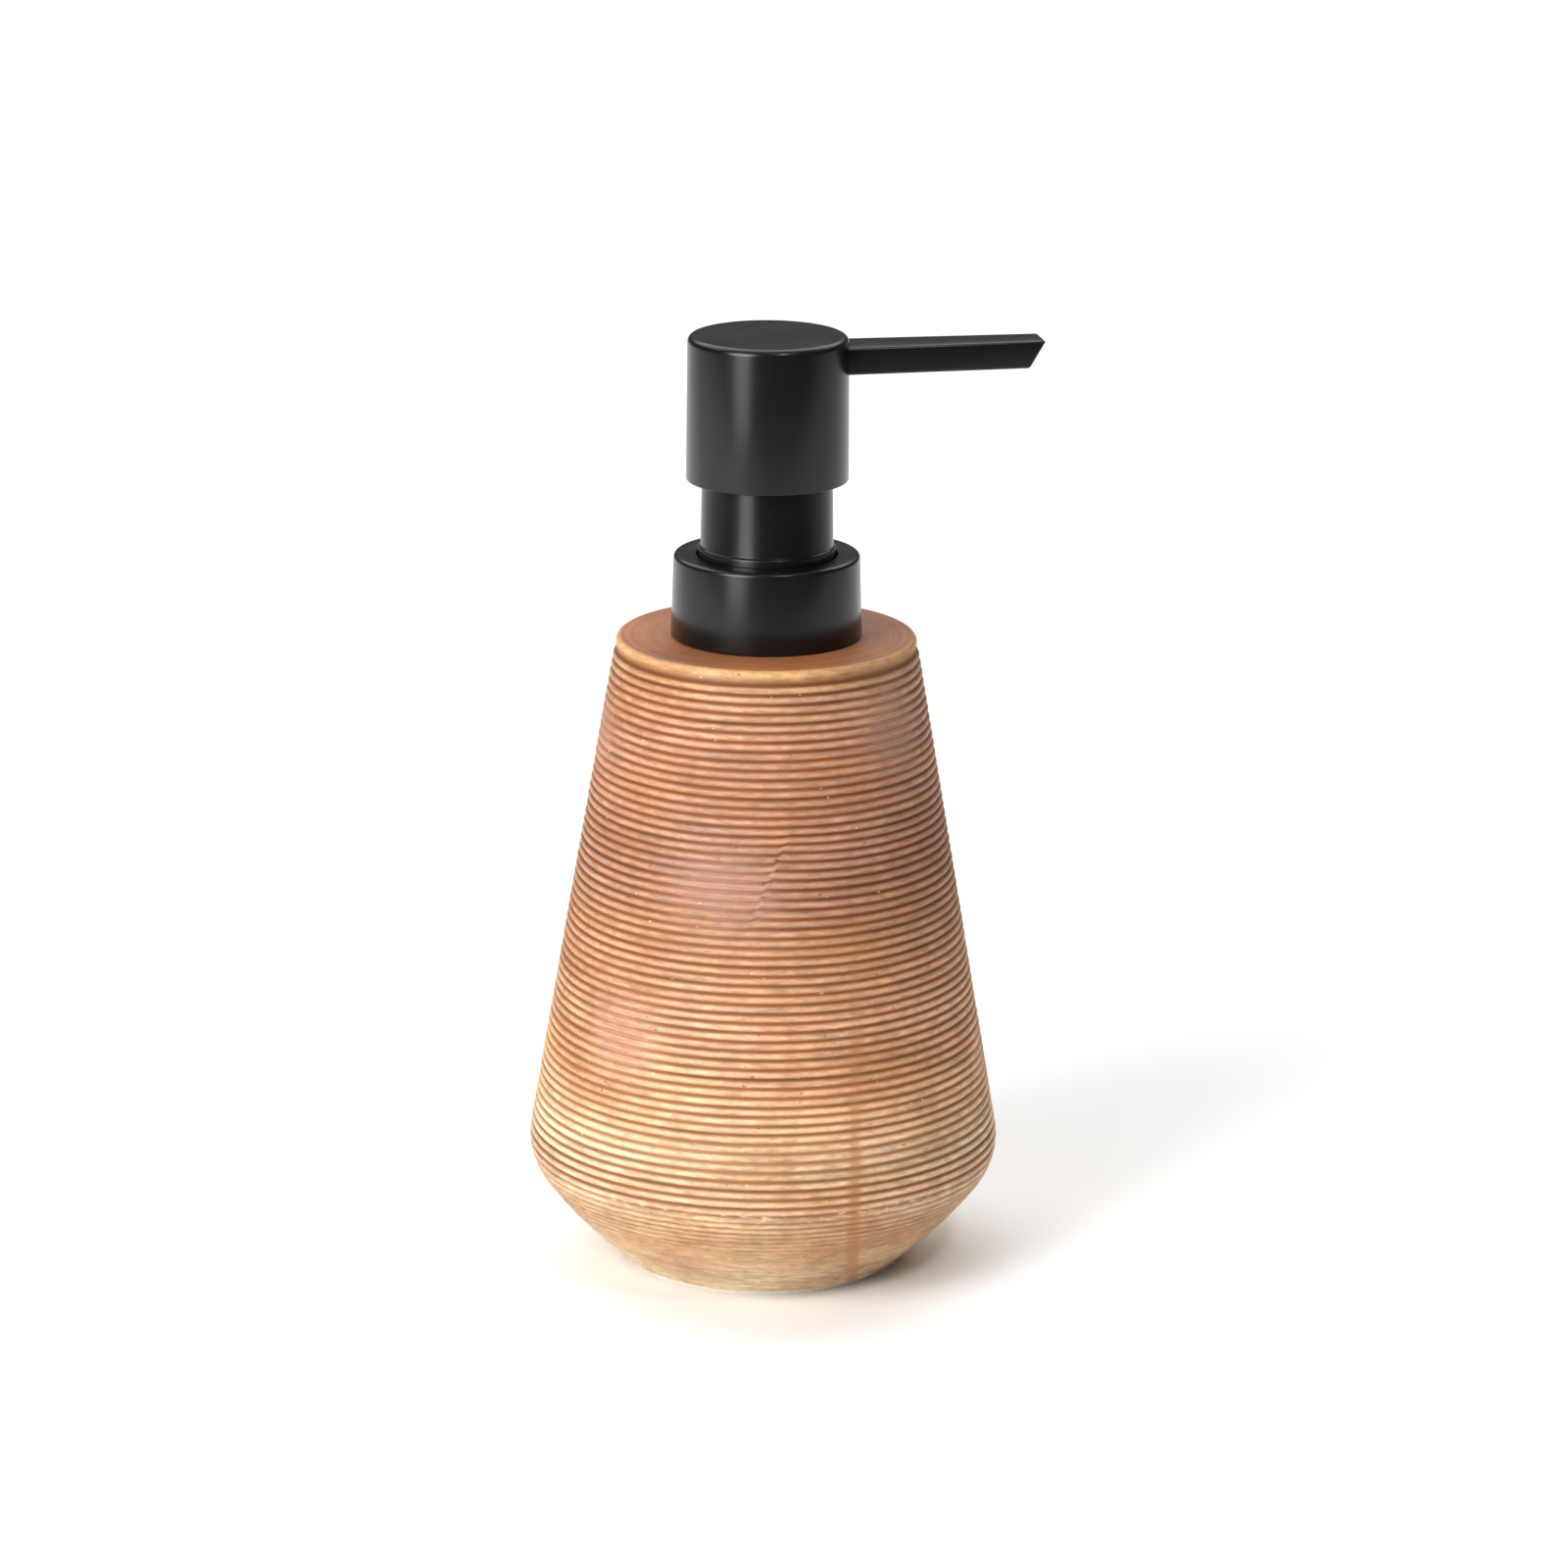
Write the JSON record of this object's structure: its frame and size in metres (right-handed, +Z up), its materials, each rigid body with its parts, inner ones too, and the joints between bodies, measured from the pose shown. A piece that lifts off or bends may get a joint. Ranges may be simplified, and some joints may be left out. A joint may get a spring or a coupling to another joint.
{
  "type": "soap pump dispenser",
  "caption": "Soap pump dispenser: tapered ribbed wood-look bottle, black screw collar, sliding round pump head with a flat spout arm.",
  "frame": {"origin": "centre of the underside of the foot pad, on the pump's axis", "axes": "+Z up along the pump's axis, +X along the spout at rest, +Y to its left seen from above"},
  "size_m": [0.0917, 0.0846, 0.1701],
  "materials": {
    "stained_resin": "matte",
    "cream_foam": "matte",
    "black_abs": "satin",
    "natural_polypropylene": "satin",
    "piston_polyethylene": "satin",
    "gasket_foam": "matte",
    "black_rubber": "matte",
    "stainless_steel": "polished"
  },
  "bodies": {
    "bottle": {"vessel": "stained_resin", "foot_pad": "cream_foam"},
    "bush": {"neck_bush": "black_abs", "bush_o_rings": "black_rubber"},
    "pump": {"pump_housing": "natural_polypropylene", "neck_gasket": "gasket_foam", "inlet_ball": "stainless_steel", "ball_cage": "natural_polypropylene", "dip_tube": "natural_polypropylene", "neck_sleeve": "black_abs", "rod_guide": "natural_polypropylene"},
    "closure": {"screw_cap": "black_abs", "collar_shell": "black_abs"},
    "plunger": {"piston_rod": "natural_polypropylene", "piston_seal": "piston_polyethylene", "outlet_ball": "stainless_steel", "return_spring": "stainless_steel"},
    "head": {"stem": "natural_polypropylene", "actuator_core": "natural_polypropylene", "spout": "black_abs", "spout_tube": "natural_polypropylene", "head_shell": "black_abs"}
  },
  "joints": [
    {"name": "pump_pull", "type": "slide", "parent": "bottle", "child": "bush", "axis": [0, 0, 1], "range_m": [0, 0.13]},
    {"name": "thread_rise", "type": "slide", "parent": "bush", "child": "pump", "axis": [0, 0, 1], "range_m": [0, 0.00635]},
    {"name": "collar_turn", "type": "hinge", "parent": "pump", "child": "closure", "pos_m": [0, 0, 0.1234], "axis": [0, 0, 1], "range_deg": [0, 540]},
    {"name": "press", "type": "slide", "parent": "pump", "child": "plunger", "axis": [0, 0, 1], "range_m": [-0.012, 0], "stiffness_N_per_m": 900, "springref_m": 0.006, "deforming": ["return_spring"]},
    {"name": "swivel", "type": "hinge", "parent": "plunger", "child": "head", "pos_m": [0, 0, 0.13], "axis": [0, 0, 1], "continuous": true}
  ],
  "couplings": [
    {"joint": "thread_rise", "follows": "collar_turn", "m_per_rad": 0.0006737}
  ]
}
